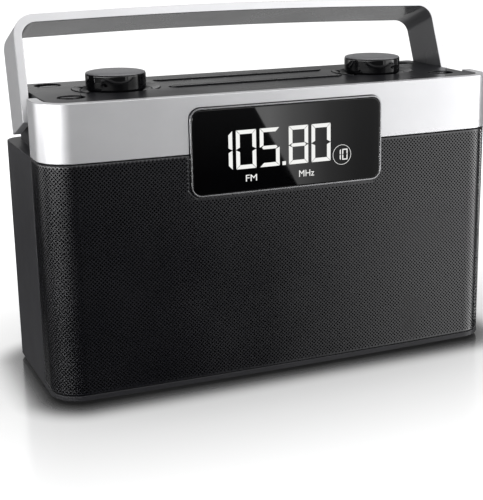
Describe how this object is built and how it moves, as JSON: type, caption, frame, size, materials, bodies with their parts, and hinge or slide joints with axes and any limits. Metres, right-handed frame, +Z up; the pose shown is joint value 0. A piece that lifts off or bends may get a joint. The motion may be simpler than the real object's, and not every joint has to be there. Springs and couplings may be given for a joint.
{
  "type": "tabletop radio",
  "caption": "Portable table radio: wrapped perforated front, silver band with display, top panel of keys and knobs, folding strap handle, battery bay and telescopic antenna.",
  "frame": {"origin": "on the surface the feet stand on, under the middle of the bounding box", "axes": "+X to the radio's right seen from the front, +Y to its back, +Z up"},
  "size_m": [0.262, 0.0986, 0.1989],
  "materials": {
    "shell_plastic": "fine grain, satin",
    "black_plastic": "matt",
    "cell_jacket": "printed foil jacket, satin",
    "foot_rubber": "matt",
    "grille_steel": "perforated, black paint, satin",
    "satin_silver": "satin, fine grain",
    "display_black": "polished",
    "lcd_glass": "smooth",
    "panel_plastic": "fine grain, satin",
    "circuit_board": "solder mask, satin",
    "knob_black": "polished",
    "knob_cap_grey": "satin, turned",
    "bright_metal": "polished",
    "zinc_steel": "zinc plated",
    "speaker_paper": "pressed paper",
    "ferrite": "pressed powder, matt"
  },
  "bodies": {
    "cabinet": {"rear_shell": "shell_plastic", "battery_holder": "black_plastic", "front_frame": "black_plastic", "mains_inlet": "black_plastic", "battery_cell_lower_left": "cell_jacket", "battery_cell_lower_right": "cell_jacket", "battery_cell_upper_left": "cell_jacket", "battery_cell_upper_right": "cell_jacket", "foot_1": "foot_rubber", "foot_2": "foot_rubber", "foot_3": "foot_rubber", "foot_4": "foot_rubber", "speaker_grille": "grille_steel", "silver_band": "satin_silver", "display_bezel": "satin_silver", "display_window": "display_black", "lcd_module": "lcd_glass", "top_panel": "panel_plastic", "key_board": "circuit_board", "main_board": "circuit_board", "phones_socket": "bright_metal", "antenna_pin": "bright_metal", "volume_control": "zinc_steel", "tuning_control": "zinc_steel", "speaker_frame": "zinc_steel", "mains_transformer": "zinc_steel", "speaker_cone": "speaker_paper", "ferrite_rod": "ferrite"},
    "handle": {"handle": "satin_silver", "handle_pivot_left": "bright_metal", "handle_pivot_right": "bright_metal"},
    "volume_knob": {"volume_knob": "knob_black", "volume_knob_cap": "knob_cap_grey", "volume_shaft": "bright_metal"},
    "tuning_knob": {"tuning_knob": "knob_black", "tuning_knob_cap": "knob_cap_grey", "tuning_shaft": "bright_metal"},
    "volume_key_left": {"volume_key_left": "panel_plastic"},
    "volume_key_right": {"volume_key_right": "panel_plastic"},
    "tuning_key_left": {"tuning_key_left": "panel_plastic"},
    "tuning_key_right": {"tuning_key_right": "panel_plastic"},
    "round_key_front_left": {"round_key_front_left": "panel_plastic"},
    "round_key_front_right": {"round_key_front_right": "panel_plastic"},
    "round_key_rear_left": {"round_key_rear_left": "panel_plastic"},
    "round_key_rear_right": {"round_key_rear_right": "panel_plastic"},
    "preset_key_rear_1": {"preset_key_rear_1": "panel_plastic"},
    "preset_key_rear_2": {"preset_key_rear_2": "panel_plastic"},
    "preset_key_rear_3": {"preset_key_rear_3": "panel_plastic"},
    "preset_key_rear_4": {"preset_key_rear_4": "panel_plastic"},
    "preset_key_rear_5": {"preset_key_rear_5": "panel_plastic"},
    "preset_key_front_1": {"preset_key_front_1": "panel_plastic"},
    "preset_key_front_2": {"preset_key_front_2": "panel_plastic"},
    "preset_key_front_3": {"preset_key_front_3": "panel_plastic"},
    "preset_key_front_4": {"preset_key_front_4": "panel_plastic"},
    "preset_key_front_5": {"preset_key_front_5": "panel_plastic"},
    "battery_door": {"battery_door": "shell_plastic"},
    "antenna_base": {"antenna_base": "bright_metal"},
    "antenna_middle": {"antenna_middle": "bright_metal"},
    "antenna_tip": {"antenna_tip": "bright_metal"}
  },
  "joints": [
    {"name": "handle_fold", "type": "hinge", "parent": "cabinet", "child": "handle", "pos_m": [0, 0.01774, 0.148], "axis": [1, 0, 0], "range_deg": [-69, 25]},
    {"name": "volume_turn", "type": "hinge", "parent": "cabinet", "child": "volume_knob", "pos_m": [-0.07775, 0.00474, 0.165], "axis": [0, 0, -1], "range_deg": [-140, 140]},
    {"name": "tuning_turn", "type": "hinge", "parent": "cabinet", "child": "tuning_knob", "pos_m": [0.07775, 0.00474, 0.165], "axis": [0, 0, -1], "continuous": true},
    {"name": "volume_key_left_press", "type": "slide", "parent": "cabinet", "child": "volume_key_left", "axis": [0, 0, -1], "range_m": [0, 0.001], "stiffness_N_per_m": 300},
    {"name": "volume_key_right_press", "type": "slide", "parent": "cabinet", "child": "volume_key_right", "axis": [0, 0, -1], "range_m": [0, 0.001], "stiffness_N_per_m": 300},
    {"name": "tuning_key_left_press", "type": "slide", "parent": "cabinet", "child": "tuning_key_left", "axis": [0, 0, -1], "range_m": [0, 0.001], "stiffness_N_per_m": 300},
    {"name": "tuning_key_right_press", "type": "slide", "parent": "cabinet", "child": "tuning_key_right", "axis": [0, 0, -1], "range_m": [0, 0.001], "stiffness_N_per_m": 300},
    {"name": "round_key_front_left_press", "type": "slide", "parent": "cabinet", "child": "round_key_front_left", "axis": [0, 0, -1], "range_m": [0, 0.001], "stiffness_N_per_m": 300},
    {"name": "round_key_front_right_press", "type": "slide", "parent": "cabinet", "child": "round_key_front_right", "axis": [0, 0, -1], "range_m": [0, 0.001], "stiffness_N_per_m": 300},
    {"name": "round_key_rear_left_press", "type": "slide", "parent": "cabinet", "child": "round_key_rear_left", "axis": [0, 0, -1], "range_m": [0, 0.001], "stiffness_N_per_m": 300},
    {"name": "round_key_rear_right_press", "type": "slide", "parent": "cabinet", "child": "round_key_rear_right", "axis": [0, 0, -1], "range_m": [0, 0.001], "stiffness_N_per_m": 300},
    {"name": "preset_key_rear_1_press", "type": "slide", "parent": "cabinet", "child": "preset_key_rear_1", "axis": [0, 0, -1], "range_m": [0, 0.001], "stiffness_N_per_m": 300},
    {"name": "preset_key_rear_2_press", "type": "slide", "parent": "cabinet", "child": "preset_key_rear_2", "axis": [0, 0, -1], "range_m": [0, 0.001], "stiffness_N_per_m": 300},
    {"name": "preset_key_rear_3_press", "type": "slide", "parent": "cabinet", "child": "preset_key_rear_3", "axis": [0, 0, -1], "range_m": [0, 0.001], "stiffness_N_per_m": 300},
    {"name": "preset_key_rear_4_press", "type": "slide", "parent": "cabinet", "child": "preset_key_rear_4", "axis": [0, 0, -1], "range_m": [0, 0.001], "stiffness_N_per_m": 300},
    {"name": "preset_key_rear_5_press", "type": "slide", "parent": "cabinet", "child": "preset_key_rear_5", "axis": [0, 0, -1], "range_m": [0, 0.001], "stiffness_N_per_m": 300},
    {"name": "preset_key_front_1_press", "type": "slide", "parent": "cabinet", "child": "preset_key_front_1", "axis": [0, 0, -1], "range_m": [0, 0.001], "stiffness_N_per_m": 300},
    {"name": "preset_key_front_2_press", "type": "slide", "parent": "cabinet", "child": "preset_key_front_2", "axis": [0, 0, -1], "range_m": [0, 0.001], "stiffness_N_per_m": 300},
    {"name": "preset_key_front_3_press", "type": "slide", "parent": "cabinet", "child": "preset_key_front_3", "axis": [0, 0, -1], "range_m": [0, 0.001], "stiffness_N_per_m": 300},
    {"name": "preset_key_front_4_press", "type": "slide", "parent": "cabinet", "child": "preset_key_front_4", "axis": [0, 0, -1], "range_m": [0, 0.001], "stiffness_N_per_m": 300},
    {"name": "preset_key_front_5_press", "type": "slide", "parent": "cabinet", "child": "preset_key_front_5", "axis": [0, 0, -1], "range_m": [0, 0.001], "stiffness_N_per_m": 300},
    {"name": "battery_door_open", "type": "hinge", "parent": "cabinet", "child": "battery_door", "pos_m": [0, 0.04744, 0.0157], "axis": [-1, 0, 0], "range_deg": [0, 95]},
    {"name": "antenna_raise", "type": "hinge", "parent": "cabinet", "child": "antenna_base", "pos_m": [0.105, 0.04524, 0.119], "axis": [1, 0, 0], "range_deg": [0, 165]},
    {"name": "antenna_middle_pull", "type": "slide", "parent": "antenna_base", "child": "antenna_middle", "axis": [0, 0, -1], "range_m": [0, 0.08]},
    {"name": "antenna_tip_pull", "type": "slide", "parent": "antenna_middle", "child": "antenna_tip", "axis": [0, 0, -1], "range_m": [0, 0.08]}
  ]
}
